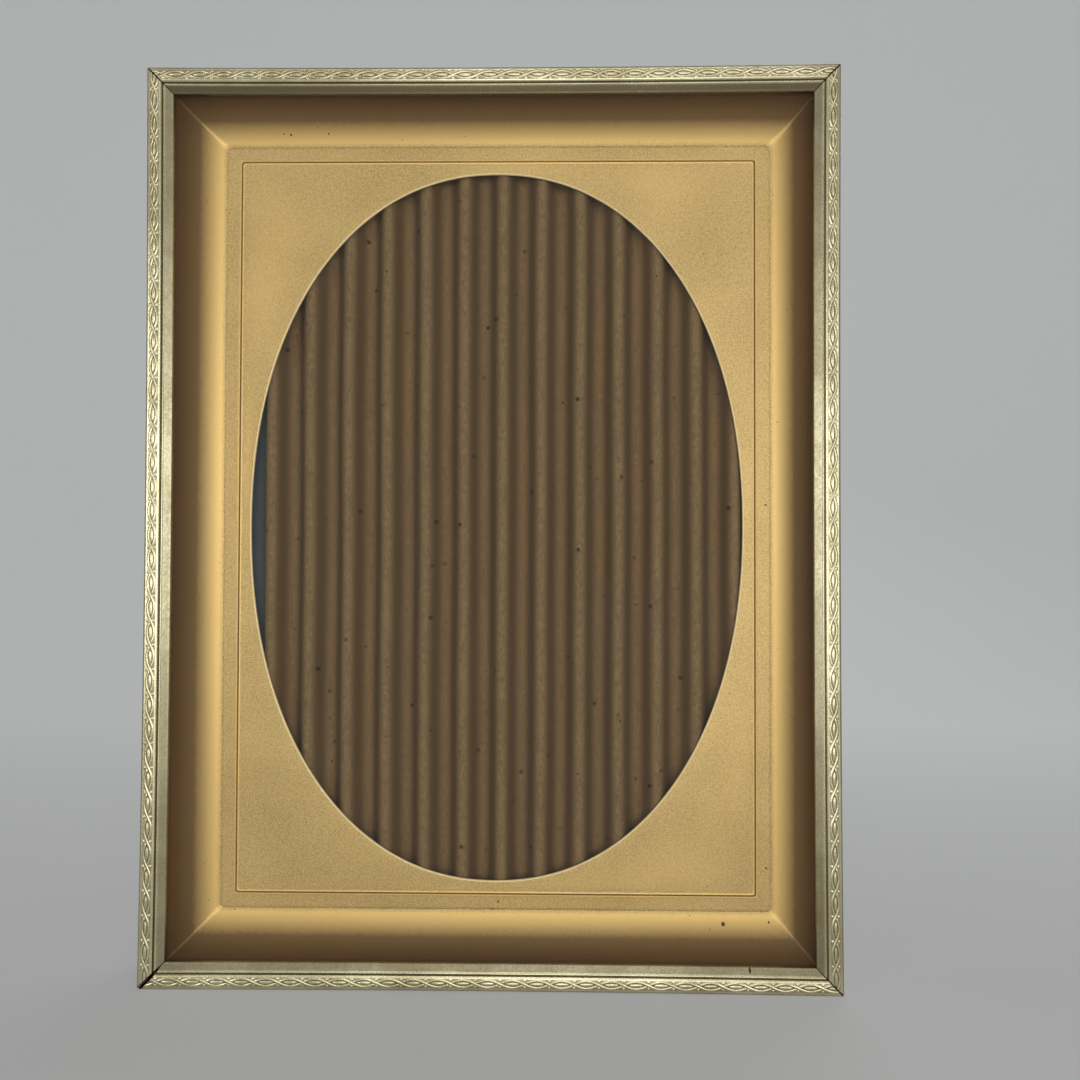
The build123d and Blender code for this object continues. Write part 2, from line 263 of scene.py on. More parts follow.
def giltFinish(look):
    material, shader, place = newFinish("giltBoard", Metallic=0.45)
    cloud = place.grain(look["cloud"] * mm, 3).fade(0.3, 0.7)
    grain = place.grain(look["grain"] * mm, 2)
    sparkle = place.grain(look["sparkle"] * mm, 1)
    mottle = place.grain(look["mottle"] * mm, 2).fade(0.36, 0.64)
    high = place.attribute("scoop") + (mottle - 0.5) * 0.03
    # painted highlight along the foot of the slopes and on the score's lips
    sheenShare = place.attribute("paintedSheen") * (0.8 + mottle * 0.2)
    fox = place.flecks(8 * mm, 0.17 * mm) * place.grain(25 * mm).fade(0.5, 0.6)
    fox = fox.larger(place.flecks(4.3 * mm, 0.13 * mm) * place.grain(12 * mm).fade(0.5, 0.62) * 0.6)
    for across, up, radius in look["spots"]:
        fox = fox.larger(place.blot(across * mm, bottom + up * mm, radius * mm))
    skin = (cloud * 0.27 + mottle * 0.27 + grain.fade(0.38, 0.62) * 0.6).blend(look["deep"], look["pale"])
    skin = sheenShare.blend(skin, look["paintedSheen"])
    # painted shade: darker up the slopes towards the rails and in the score's floor
    skin = high.fade(0.05, 0.38).blend(skin, look["paintedSlopeShade"])
    skin = high.fade(0.32, 0.7).blend(skin, look["paintedRailShade"])
    # painted highlight on the rolled rim of the oval
    skin = place.attribute("ovalRimSheen").blend(skin, look["cut"])
    fox.blend(skin, look["fox"]).into(shader, "Base Color")
    (look["rough"] + grain * 0.12 + cloud * 0.04 + fox * 0.3).into(shader, "Roughness")
    (grain * 0.7 + sparkle * 0.3).bumped(look["bump"] * mm).into(shader, "Normal")
    return material


kraftLook = {
    "crest": tint(0.235, 0.152, 0.067),
    "valley": tint(0.2, 0.117, 0.047),
    # painted shade on the flanks of the flutes
    "flank": tint(0.094, 0.048, 0.012),
    "stain": tint(0.11, 0.062, 0.026),
    "speck": tint(0.02, 0.013, 0.008),
    # grain sizes and the depth of the bump, in millimetres
    "cloud": 16,
    "fibre": 0.35,
    "pulp": 1.2,
    "bump": 0.05,
}


def kraftFinish(look):
    material, shader, place = newFinish("flutedKraft", Roughness=0.82)
    cloud = place.grain(look["cloud"] * mm, 4).fade(0.3, 0.7)
    fibre = place.stretched(1, 1, 3).grain(look["fibre"] * mm, 3)
    crest = place.attribute("crest")
    pulp = place.grain(look["pulp"] * mm, 4).fade(0.36, 0.64)
    speck = place.flecks(13 * mm, 0.62 * mm) * place.grain(9 * mm).fade(0.42, 0.6)
    speck = speck.larger(place.flecks(7 * mm, 0.36 * mm) * place.grain(5 * mm).fade(0.5, 0.66))
    side = crest * 2 - 1
    level = side * side
    skin = crest.blend(look["valley"], look["crest"])
    # painted shade: the flanks between crest and valley are darkened
    skin = (0.95 - level * level + fibre * 0.3).fade(0, 1.25).blend(skin, look["flank"])
    skin = (cloud * 0.2 + pulp * 0.3 + fibre.fade(0.4, 0.6) * 0.4).blend(skin, look["stain"])
    speck.blend(skin, look["speck"]).into(shader, "Base Color")
    fibre.bumped(look["bump"] * mm).into(shader, "Normal")
    return material


slateLook = {
    "face": tint(0.085, 0.093, 0.098),
    "deep": tint(0.052, 0.058, 0.063),
    "scuff": tint(0.23, 0.22, 0.20),
    # grain sizes and the depth of the bump, in millimetres
    "cloud": 24,
    "fibre": 0.5,
    "bump": 0.06,
}


def slateFinish(look):
    material, shader, place = newFinish("slateBoard", Roughness=0.74)
    cloud = place.grain(look["cloud"] * mm, 4).fade(0.3, 0.7)
    fibre = place.grain(look["fibre"] * mm, 4)
    scratch = place.stretched(9, 1, 1).grain(1.6 * mm, 2).fade(0.68, 0.76)
    skin = (cloud * 0.6 + fibre * 0.4).blend(look["deep"], look["face"])
    rub = scratch * place.grain(30 * mm).fade(0.45, 0.65) * 0.5
    rub.blend(skin, look["scuff"]).into(shader, "Base Color")
    (fibre + cloud * 0.5).bumped(look["bump"] * mm).into(shader, "Normal")
    return material


strutLook = {
    "face": tint(0.040, 0.036, 0.034),
    "deep": tint(0.020, 0.018, 0.017),
    "scuff": tint(0.17, 0.15, 0.13),
    # grain sizes and the depth of the bump, in millimetres
    "cloud": 20,
    "pebble": 0.9,
    "bump": 0.09,
}


def strutFinish(look):
    material, shader, place = newFinish("strutBoard")
    cloud = place.grain(look["cloud"] * mm, 4).fade(0.3, 0.7)
    pebble = place.node(
        "ShaderNodeTexVoronoi", {"feature": "SMOOTH_F1"},
        {"Vector": place, "Scale": 1 / (look["pebble"] * mm)},
    )
    rub = (place.grain(3 * mm, 4).fade(0.62, 0.74) * place.grain(26 * mm).fade(0.46, 0.62)) * 0.4
    skin = (cloud * 0.5 + pebble * 0.5).blend(look["face"], look["deep"])
    rub.blend(skin, look["scuff"]).into(shader, "Base Color")
    (0.46 + cloud * 0.14 + rub * 0.3).into(shader, "Roughness")
    (1 - pebble).bumped(look["bump"] * mm).into(shader, "Normal")
    return material


steelLook = {
    "plate": tint(0.66, 0.64, 0.58),
    "dull": tint(0.45, 0.43, 0.38),
    "rust": tint(0.20, 0.10, 0.05),
    "pasted": tint(0.06, 0.066, 0.07),
    # grain sizes and the depth of the bump, in millimetres
    "cloud": 5,
    "brush": 0.4,
    "bump": 0.02,
}


# plated steel, pasted over with dark paper where a rivet's tail lies at this depth
def steelFinish(name, look, tails):
    material, shader, place = newFinish(name)
    pasted = place.depth().fade(tails + 0.3 * mm, tails + 0.1 * mm)
    cloud = place.grain(look["cloud"] * mm, 4).fade(0.3, 0.7)
    brush = place.stretched(12, 1, 1).grain(look["brush"] * mm, 2)
    rust = place.grain(1.4 * mm, 4).fade(0.64, 0.72) * place.grain(12 * mm).fade(0.5, 0.62)
    skin = (cloud * 0.7 + brush * 0.3).blend(look["dull"], look["plate"])
    skin = rust.blend(skin, look["rust"])
    pasted.blend(skin, look["pasted"]).into(shader, "Base Color")
    bare = 1 - (rust * 0.8).larger(pasted)
    bare.into(shader, "Metallic")
    (0.62 - bare * 0.36 + cloud * 0.1 + brush * 0.08).into(shader, "Roughness")
    (brush * 0.5 + rust).bumped(look["bump"] * mm).into(shader, "Normal")
    return material


paneLook = {
    "clear": tint(0.965, 0.975, 0.965),
    "film": tint(0.80, 0.79, 0.75),
    # share of the dust film, and the size of its smears in millimetres
    "haze": 0.005,
    "smear": 14,
    # refraction that sets how much the outer side mirrors, and the mirror's roughness
    "bend": 1.33,
    "gloss": 0.03,
}


# clear pane: its outer side mirrors a little, and it holds a thin film of dust and smears
def paneFinish(look):
    material, film, place = newFinish("paneGlass", Roughness=0.6)
    tree = material.node_tree
    film.inputs["Base Color"].default_value = look["film"]
    clear = place.node("ShaderNodeBsdfTransparent", None, {"Color": look["clear"]})
    mirror = place.node("ShaderNodeBsdfGlossy", None, {"Roughness": look["gloss"]})
    inside = place.node("ShaderNodeNewGeometry", out="Backfacing")
    facing = place.node("ShaderNodeFresnel", None, {"IOR": look["bend"]}) * (1 - inside)
    pane = place.node("ShaderNodeMixShader", None, {0: facing, 1: clear, 2: mirror})
    dust = (place.stretched(2, 1, 1).grain(look["smear"] * mm, 3) + 0.5) * look["haze"]
    filmOut = Wire(tree, film.outputs[0])
    seen = place.node("ShaderNodeMixShader", None, {0: dust, 1: pane, 2: filmOut})
    seen.into(tree.nodes["Material Output"], "Surface")
    return material


brassSkin = brassFinish(brassLook)
giltBoard = giltFinish(giltLook)
flutedKraft = kraftFinish(kraftLook)
slateBoard = slateFinish(slateLook)
strutBoard = strutFinish(strutLook)
platedSteel = steelFinish("platedSteel", steelLook, boardFront)
keySteel = steelFinish("keySteel", steelLook, front)
paneGlass = paneFinish(paneLook)
print("finishes ready")


# a finished piece: its place is in its mesh, and it rides on a body and stands for a node
def addPiece(name, bm, finish, slot, node, sharp=35):
    mesh = bpy.data.meshes.new(name)
    bm.to_mesh(mesh)
    bm.free()
    mesh.materials.append(finish)
    mesh.shade_smooth()
    mesh.set_sharp_from_angle(angle=math.radians(sharp))
    piece = bpy.data.objects.new(name, mesh)
    bpy.context.scene.collection.objects.link(piece)
    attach(piece, nodes[node]["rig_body"])
    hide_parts(node)
    return piece


# rails: one formed section swept along each side, with the embossed band moved into relief
railStyle = {
    "step": 0.155 * mm,
    "start": (0.3, 21.4),
    # each stretch of the outer skin: inwards to, depth there, swell, divisions
    "skin": (
        (0.0, 21.1, 0.06, 2),
        (0.0, 1.5, 0.0, 1),
        (0.0, 0.95, 0.0, 1),
        (0.7, 0.3, 0.2, 6),
        (2.9, 0.3, 0.08, 28),
        (3.34, 0.55, 0.03, 5),
        (3.40, 0.9, 0.0, 1),
        (3.76, 0.9, 0.0, 1),
        (3.82, 0.6, 0.0, 1),
        (4.0, 0.7, 0.03, 3),
        (5.45, 1.5, 0.01, 5),
        (5.80, 1.95, 0.12, 5),
        (5.80, 2.4, 0.0, 1),
    ),
    "lining": (
        (5.3, 2.4), (5.3, 2.0), (3.76, 1.35), (2.9, 1.3), (1.1, 1.1), (0.5, 1.6),
        (0.5, 20.9), (2.9, 20.9), (2.9, 15.4), (3.4, 15.4), (3.4, 21.4),
    ),
    "tipRound": 0.45 * mm,
    "grime": 0.22 * mm,
    # a mitre's open cut closes to this at this depth
    "shut": (0.02 * mm, 1.3 * mm),
    # ends cut back at the start and the end, bow in the middle, where an ornament's eye falls,
    # how bright the inner strip is painted on each side, a painted shade for how light falls there, and where
    # the press begins to vary
    "rails": {
        "bottom_rail": {"cuts": (0.95, 0.12), "bow": 0.35, "eye": 0.2, "strip": 0.28, "press": 2.52},
        "top_rail": {"cuts": (0.12, 0.12), "bow": 0.4, "eye": 0.6, "strip": 0.02, "press": 0.18},
        "left_rail": {"cuts": (0.3, 0.12), "bow": 0.6, "eye": 2.5, "strip": 0.4, "press": 3.6},
        "right_rail": {"cuts": (0.12, 0.12), "bow": 0.45, "eye": 1.4, "strip": 0.36, "press": 3.24},
    },
}

bandStyle = {
    "middle": 1.8,
    "low": 0.78,
    "high": 2.84,
    "pitch": 5.46,
    "swing": 0.78,
    "strandHalf": 0.29,
    "strandHigh": 0.14,
    "bossLong": 1.7,
    "bossWide": 0.4,
    "bossHigh": 0.17,
    "beadOut": 0.72,
    "beadRound": 0.34,
    "beadHigh": 0.11,
    "edgeFade": 0.12,
    # how hard the band was pressed: mean, swing, and the length of the swing
    "press": (0.88, 0.4, 9.0),
    # how bright the ground is painted inside the eyes and beside them, as painted shade in the hollows with
    # some patina, and the height that is painted fully bright as a highlight
    "eyeGround": 0.04,
    "edgeGround": 0.46,
    "brightAt": 0.09,
}

# how bright the plain parts of a rail's skin are painted: the dark groove and outer edge are painted shade,
# the bright bead a painted highlight
toneStyle = {
    "wall": 0.45,
    "lining": 0.55,
    "edge": (0.12, 0.66),
    "groove": 0,
    "bead": 1.0,
    "ledge": 0.78,
}


def railSection(style):
    spots = [Vector(style["start"])]
    for inward, deep, swell, pieces in style["skin"]:
        begin = spots[-1]
        end = Vector((inward, deep))
        across = (end - begin).orthogonal().normalized()
        for k in range(1, pieces + 1):
            t = k / pieces
            spots.append(begin.lerp(end, t) - across * swell * 4 * t * (1 - t))
    return spots + [Vector(spot) for spot in style["lining"]]


# height of the guilloche over the band, in millimetres along and across it
def guilloche(along, across, style):
    turn = along / style["pitch"]
    offset = style["swing"] * math.cos(math.pi * turn)
    lean = style["swing"] * math.pi / style["pitch"] * math.sin(math.pi * turn)
    square = 1 / math.hypot(1, lean)
    strands = []
    for line in (offset, -offset):
        away = abs(across - line) * square / style["strandHalf"]
        strands.append((away, style["strandHigh"] * max(0, 1 - away * away) ** 1.5))
    if math.floor(turn) % 2:
        strands.reverse()
    over, under = strands
    passing = min(1, max(0, over[0] - 0.9))
    eye = along - style["pitch"] * round(turn)
    cross = style["pitch"] / 2 - abs(eye)
    boss = 1 - (eye / style["bossLong"]) ** 2 - (across / style["bossWide"]) ** 2
    bead = 1 - (cross ** 2 + (abs(across) - style["beadOut"]) ** 2) / style["beadRound"] ** 2
    return max(
        over[1],
        under[1] * passing,
        style["bossHigh"] * max(0, boss),
        style["beadHigh"] * max(0, bead),
    )


# relief height and how bright the skin is painted there, on the embossed band: painted highlight on the
# raised parts, painted shade with some patina on the low ground
def bandRelief(along, inward, own, style):
    edge = min(1, (inward - style["low"]) / style["edgeFade"], (style["high"] - inward) / style["edgeFade"])
    mean, swing, long = style["press"]
    press = mean + swing * noise.noise(Vector((along / long, own["press"], 0)))
    across = inward - style["middle"]
    high = guilloche(along, across, style) * edge * press
    inside = abs(across) < style["swing"] * abs(math.cos(math.pi * along / style["pitch"]))
    ground = style["eyeGround"] if inside else style["edgeGround"]
    return high, ground + (1 - ground) * min(1, high / style["brightAt"])


# the same anywhere on the section; the numbers are places on railStyle's skin and lining
def railRelief(along, inward, deep, own, style, tone):
    if deep > max(1.0, 0.95 + 0.55 * (inward - 4.0)) and inward < 5.2:
        return 0, tone["lining"] if inward > 3.8 else tone["wall"]
    if inward < 0.45:
        dark, rise = tone["edge"]
        return 0, dark + rise * max(0, inward - 0.1) / 0.35
    if style["low"] < inward < style["high"] and deep < 0.5:
        return bandRelief(along, inward, own, style)
    if deep > 0.7 and 3.36 < inward < 3.8:
        return 0, tone["groove"]
    if inward > 4.05:
        return 0, own["strip"]
    return 0, tone["bead"] if inward > 2.85 else tone["ledge"]


def railSpot(name, along, inward, deep):
    y = front + deep
    if name == "bottom_rail":
        return (along, y, bottom + inward)
    if name == "top_rail":
        return (along, y, top - inward)
    if name == "left_rail":
        return (left + inward, y, middle + along)
    return (right - inward, y, middle + along)


def makeRail(name, style, band, tone):
    own = style["rails"][name]
    long = (right - left) if name in ("bottom_rail", "top_rail") else (top - bottom)
    half = long / 2
    section = railSection(style)
    count = len(section)
    steps = round(long / style["step"])
    bm = bmesh.new()
    wearAndPaintedShade = bm.verts.layers.float.new("relief")
    bmesh.ops.create_grid(bm, x_segments=steps, y_segments=count, size=0.5)
    tip = style["tipRound"]
    seam = []
    for vert in bm.verts:
        share = vert.co.x + 0.5
        row = round((vert.co.y + 0.5) * count)
        if row in (0, count):
            seam.append(vert)
        inward, deep = section[row % count] * mm
        mitre = max(inward, tip * (1 - math.sqrt(0.5)))
        shut, shutDeep = style["shut"]
        gape = max(0, 1 - deep / shutDeep)
        begin = mitre + shut + (own["cuts"][0] * mm - shut) * gape - half
        end = half - mitre - shut - (own["cuts"][1] * mm - shut) * gape
        along = begin + share * (end - begin)
        bow = own["bow"] * mm * (1 - (along / half) ** 2) * (1 - deep / railDeep)
        high, shine = railRelief(along / mm + own["eye"], inward / mm, deep / mm, own, band, tone)
        clear = min(1, min(share, 1 - share) * long / style["grime"])
        # painted highlight and shade of the relief, with soot at the mitre ends
        vert[wearAndPaintedShade] = shine * clear - (1 - clear)
        corner = half - abs(along)
        if corner < tip:  # the wall turns in round the corner's tip
            inward = max(inward, tip - math.sqrt(tip * tip - (tip - corner) ** 2))
        vert.co = railSpot(name, along, inward + bow, deep - high * mm)
    bmesh.ops.remove_doubles(bm, verts=seam, dist=weld)
    bmesh.ops.holes_fill(bm, edges=[edge for edge in bm.edges if edge.is_boundary], sides=0)
    bmesh.ops.recalc_face_normals(bm, faces=bm.faces)
    return addPiece(name.replace("_rail", "RailSkin"), bm, brassSkin, "brass_rail", name)


for railName in railStyle["rails"]:
    makeRail(railName, railStyle, bandStyle, toneStyle)
print("rails swept")


# mat: one ring of vertices grown again and again, from the rim down the cove to the rolled oval
matStyle = {
    "around": 320,
    "rim": 0.6 * mm,
    "coveWide": 11.0 * mm,
    # the panel is pressed a little off the middle, and its slopes are narrower than drawn
    "off": (0.58 * mm, 0.37 * mm),
    "grown": (0.5 * mm, 0.58 * mm),
    "coveDeep": 8.0 * mm,
    "coveSag": 0.85 * mm,
    "coveRings": 16,
    "foldRound": 0.3 * mm,
    "panelRound": 1.15 * mm,
    "shoulder": ((0.0, 0.14), (0.25, 0.05), (0.6, 0.0), (0.72, 0.0)),
    # the scored line: distance in from the panel's edge, and depth, raised where it is below nought
    "score": (
        (2.95, 0.0), (3.07, 0.0), (3.20, -0.06), (3.34, -0.1), (3.46, -0.04), (3.54, 0.18),
        (3.65, 0.28), (3.76, 0.18), (3.84, -0.04), (3.96, -0.1), (4.1, -0.06), (4.23, 0.0), (4.35, 0.0),
    ),
    "scoreRound": 0.5 * mm,
    "ovalIn": (6.57 * mm, 6.78 * mm),
    "ovalFull": 2.15,
    "flatRings": 10,
    # the panel's unevenness: height and length
    "uneven": (0.07 * mm, 34 * mm),
    # how fast the score's floor darkens with painted shade, and from where
    "scoreDark": (60, 1.3),
    # ramps of the painted highlight: in from the panel's edge, and up the score's lips
    "sheenRamp": 0.5 * mm,
    "lipUp": 0.012,
    "roll": 0.4 * mm,
    "rollRings": 6,
    "thick": 0.9 * mm,
    "undercut": 0.45 * mm,
}


# point k of a rounded rectangle, with the points drawn together at its corners
def boxPoint(k, around, halfX, halfZ, corner):
    quarter = around // 4
    run = math.sin(math.pi / 2 * (2 * (k % quarter) / quarter - 1))
    side = k // quarter
    x, z = ((1, run), (-run, 1), (-1, -run), (run, -1))[side]
    x *= halfX
    z *= halfZ
    pastX = abs(x) - halfX + corner
    pastZ = abs(z) - halfZ + corner
    if pastX > 0 and pastZ > 0:
        pull = corner / math.hypot(pastX, pastZ)
        x = math.copysign(halfX - corner + pastX * pull, x)
        z = math.copysign(halfZ - corner + pastZ * pull, z)
    return Vector((x, 0, z))


# point k of an oval a little fuller than an ellipse, in step with the rectangle's points
def ovalPoint(k, around, halfX, halfZ, full):
    angle = 2 * math.pi * (k / around - 0.125)
    x, z = math.cos(angle), math.sin(angle)
    swell = (abs(x) ** full + abs(z) ** full) ** (-1 / full)
    return Vector((halfX * x * swell, 0, halfZ * z * swell))


# the new vertices and the new far edges of a strip of faces grown from some edges
def growEdges(bm, edges):
    grown = bmesh.ops.extrude_edge_only(bm, edges=edges)["geom"]
    fresh = [part for part in grown if isinstance(part, bmesh.types.BMVert)]
    made = set(fresh)
    far = [part for part in grown if isinstance(part, bmesh.types.BMEdge) and set(part.verts) <= made]
    return fresh, far


def growRing(bm, ring, turn, place):
    fresh, far = growEdges(bm, ring)
    for vert in fresh:
        vert.co = place(vert[turn])
    return far


def makeMat(style):
    around = style["around"]
    halfX = (matHigh.x - matLow.x) / 2
    halfZ = (matHigh.z - matLow.z) / 2
    lift = Vector((0, matLow.y, middle))
    offX, offZ = style["off"]
    grownX, grownZ = style["grown"]
    panelX = halfX - style["coveWide"] + grownX
    panelZ = halfZ - style["coveWide"] + grownZ
    full = style["ovalFull"]
    flat = style["coveDeep"]
    ovalX = panelX - style["ovalIn"][0]
    ovalZ = panelZ - style["ovalIn"][1]

    def boxRing(inward, deep, corner):
        share = min(1, inward / style["coveWide"])
        wide = halfX - inward + grownX * share
        tall = halfZ - inward + grownZ * share
        shift = Vector((offX * share, deep, offZ * share))
        return lambda k: boxPoint(k, around, wide, tall, corner) + shift + lift

    def ovalRing(out, deep):
        shift = Vector((offX, deep, offZ))
        return lambda k: ovalPoint(k, around, ovalX + out, ovalZ + out, full) + shift + lift

    def between(share):
        edge = boxRing(style["coveWide"] + style["score"][-1][0] * mm, flat, style["scoreRound"])
        oval = ovalRing(style["roll"], flat)

        def place(k):
            spot = edge(k).lerp(oval(k), share)
            high, long = style["uneven"]
            wave = noise.noise(spot / long) * math.sin(math.pi * share)
            return spot + Vector((0, high * wave, 0))

        return place

    places = []
    run = Vector((style["coveWide"] - style["rim"], flat + style["shoulder"][0][1] * mm))
    across = run.orthogonal().normalized()
    for k in range(style["coveRings"] + 1):
        t = k / style["coveRings"]
        spot = run * t + across * style["coveSag"] * 4 * t * (1 - t)
        corner = style["foldRound"] + (style["panelRound"] - style["foldRound"]) * t ** 3
        places.append(boxRing(style["rim"] + spot.x, spot.y, corner))
    for inward, deep in style["shoulder"][1:]:
        places.append(boxRing(style["coveWide"] + inward * mm, flat + deep * mm, style["panelRound"]))
    for inward, deep in style["score"]:
        places.append(boxRing(style["coveWide"] + inward * mm, flat + deep * mm, style["scoreRound"]))
    for k in range(1, style["flatRings"] + 1):
        places.append(between(k / style["flatRings"]))
    for k in range(1, style["rollRings"] + 1):
        bend = math.pi / 2 * k / style["rollRings"]
        roll = style["roll"]
        places.append(ovalRing(roll - roll * math.sin(bend), flat + roll - roll * math.cos(bend)))
    # round the back again
    places.append(ovalRing(style["undercut"], flat + style["thick"]))
    places.append(boxRing(style["coveWide"], flat + style["thick"], style["panelRound"]))
    for k in range(style["coveRings"] - 2, -1, -2):
        t = k / style["coveRings"]
        spot = run * t + across * style["coveSag"] * 4 * t * (1 - t)
        places.append(boxRing(style["rim"] + spot.x, spot.y + style["thick"], style["foldRound"]))
    places.append(boxRing(0, style["thick"], style["foldRound"]))

    bm = bmesh.new()
    turn = bm.verts.layers.int.new("turn")
    scoop = bm.verts.layers.float.new("scoop")
    ovalRimSheen = bm.verts.layers.float.new("ovalRimSheen")
    paintedSheen = bm.verts.layers.float.new("paintedSheen")
    rim = boxRing(0, 0, style["foldRound"])
    first = bmesh.ops.create_circle(bm, segments=around, radius=halfX)["verts"]
    for k, vert in enumerate(first):
        vert[turn] = k
        vert.co = rim(k)
    begun = list(bm.edges)
    ring = begun
    for place in places:
        ring = growRing(bm, ring, turn, place)
    bmesh.ops.bridge_loops(bm, edges=begun + ring)
    steep, start = style["scoreDark"]
    for vert in bm.verts:
        up = 1 - (vert.co.y - matLow.y) / flat
        vert[scoop] = min(1, max(0, up, -steep * up - start))
        awayX = abs(vert.co.x - offX)
        awayZ = abs(vert.co.z - middle - offZ)
        out = (awayX / (ovalX + style["roll"])) ** full + (awayZ / (ovalZ + style["roll"])) ** full
        # the rolled rim of the oval takes the painted highlight
        vert[ovalRimSheen] = 1 if out < 0.999 else 0
        # painted highlight: bright along the foot of the slopes and on the lips of the score
        past = max(awayX - panelX, awayZ - panelZ)
        vert[paintedSheen] = min(1, max(0, past / style["sheenRamp"] if past > 0 else up / style["lipUp"]))
    bmesh.ops.recalc_face_normals(bm, faces=bm.faces)
    return addPiece("scoopMatSkin", bm, giltBoard, "gilt_board", "scoop_mat", sharp=28)


makeMat(matStyle)
print("mat grown")


# filler: one folded sheet, drawn as a wave across and swept upwards
fluteStyle = {
    "pitch": 9.1 * mm,
    "paper": 0.35 * mm,
    "perFlute": 20,
    "steps": 44,
    "square": 1.25,
    # how far the flutes wander, over what lengths across and up, and how far in from the sides
    "wander": 0.22 * mm,
    "wanderLong": (14 * mm, 40 * mm),
    "still": 4 * mm,
    "firstCrest": 1.6 * mm,
}


def makeFlutes(style):
    wide = fluteHigh.x - fluteLow.x
    half = (fluteHigh.y - fluteLow.y - style["paper"]) / 2
    depth = (fluteLow.y + fluteHigh.y) / 2
    count = round(wide / style["pitch"] * style["perFlute"])
    inset = style["paper"] / 2
    bm = bmesh.new()
    crest = bm.verts.layers.float.new("crest")
    bmesh.ops.create_grid(bm, x_segments=count, y_segments=style["steps"], size=0.5)
    for vert in bm.verts:
        x = fluteLow.x + inset + (wide - 2 * inset) * (vert.co.x + 0.5)
        z = fluteLow.z + (fluteHigh.z - fluteLow.z) * (vert.co.y + 0.5)
        wave = math.cos(2 * math.pi * (x - fluteLow.x - style["firstCrest"]) / style["pitch"])
        swell = math.tanh(style["square"] * wave) / math.tanh(style["square"])
        vert[crest] = (swell + 1) / 2
        vert.co = (x, depth - half * swell, z)
    still = style["still"]
    longX, longZ = style["wanderLong"]
    for vert in bm.verts:
        inside = min(1, (vert.co.x - fluteLow.x) / still, (fluteHigh.x - vert.co.x) / still)
        drift = noise.noise(Vector((vert.co.x / longX, 0, vert.co.z / longZ)))
        vert.co.x += style["wander"] * drift * max(0, inside)
    bmesh.ops.recalc_face_normals(bm, faces=bm.faces)
    bmesh.ops.solidify(bm, geom=bm.faces, thickness=style["paper"])
    shift = (fluteLow.y + fluteHigh.y) / 2 - sum(vert.co.y for vert in bm.verts) / len(bm.verts)
    bmesh.ops.translate(bm, verts=bm.verts, vec=(0, shift, 0))
    bmesh.ops.recalc_face_normals(bm, faces=bm.faces)
    return addPiece("corrugatedFlutesSheet", bm, flutedKraft, "fluted_paper", "corrugated_flutes", sharp=60)


makeFlutes(fluteStyle)
print("flutes folded")


# plates and boards: the node's own mesh with its sharp edges eased
# name, finish, slot, width of the easing, and its segments
easedPieces = {
    "glass_pane": ("glassPaneSheet", paneGlass, "clear_glass", 0.25 * mm, 2),
    "corrugated_liner": ("corrugatedLinerSheet", flutedKraft, "fluted_paper", 0.08 * mm, 1),
    "back_board": ("backBoardPanel", slateBoard, "slate_board", 0.35 * mm, 2),
    "easel_strut": ("easelStrutBoard", strutBoard, "strut_board", 0.5 * mm, 3),
    "hinge_fixed_leaf": ("hingeFixedLeafPlate", platedSteel, "plated_steel", 0.08 * mm, 1),
    "hinge_moving_leaf": ("hingeMovingLeafPlate", platedSteel, "plated_steel", 0.08 * mm, 1),
    "hanger_plate_top": ("hangerPlateTopStrip", platedSteel, "plated_steel", 0.15 * mm, 2),
    "hanger_plate_side": ("hangerPlateSideStrip", platedSteel, "plated_steel", 0.15 * mm, 2),
    "turn_button_left_upper": ("turnButtonLeftUpperPlate", platedSteel, "plated_steel", 0.15 * mm, 2),
    "turn_button_left_lower": ("turnButtonLeftLowerPlate", platedSteel, "plated_steel", 0.15 * mm, 2),
    "turn_button_right_upper": ("turnButtonRightUpperPlate", platedSteel, "plated_steel", 0.15 * mm, 2),
    "turn_button_right_lower": ("turnButtonRightLowerPlate", platedSteel, "plated_steel", 0.15 * mm, 2),
}
flatUnder = math.radians(1)
sharpOver = math.radians(40)


def easeNode(node, name, finish, slot, width, segments):
    bm = bmesh.new()
    bm.from_mesh(nodes[node].data)
    bmesh.ops.remove_doubles(bm, verts=bm.verts, dist=weld)
    bmesh.ops.dissolve_limit(bm, angle_limit=flatUnder, verts=bm.verts, edges=bm.edges)
    sharp = [edge for edge in bm.edges if edge.calc_face_angle(0) > sharpOver]
    bmesh.ops.bevel(
        bm, geom=sharp, offset=width, affect="EDGES", segments=segments, profile=0.5,
        material=-1, clamp_overlap=True,
    )
    bmesh.ops.recalc_face_normals(bm, faces=bm.faces)
    return addPiece(name, bm, finish, slot, node, sharp=20)


for nodeName, easing in easedPieces.items():
    easeNode(nodeName, *easing)
print("plates and boards eased")

# nodes whose shape is right keep their mesh and take a finish
plainNodes = {
    "turn_button_rivets": platedSteel,
    "hinge_pin": platedSteel,
    "hinge_board_rivets": platedSteel,
    "hinge_strut_rivets": platedSteel,
    "hanger_rivets": platedSteel,
    "corner_key_top_left": keySteel,
    "corner_key_top_right": keySteel,
    "corner_key_bottom_left": keySteel,
    "corner_key_bottom_right": keySteel,
}
for nodeName, finish in plainNodes.items():
    for slotOfNode in nodes[nodeName].material_slots:
        slotOfNode.material = finish
print("kept nodes finished")


# 1 for the rays that look at the stage, straight or by way of metal and glass
def lookedAt(tree):
    rays = tree.nodes.new("ShaderNodeLightPath")
    looking = Wire(tree, rays.outputs["Is Camera Ray"])
    for ray in ("Is Glossy Ray", "Is Transmission Ray"):
        looking = looking.larger(Wire(tree, rays.outputs[ray]))
    return looking


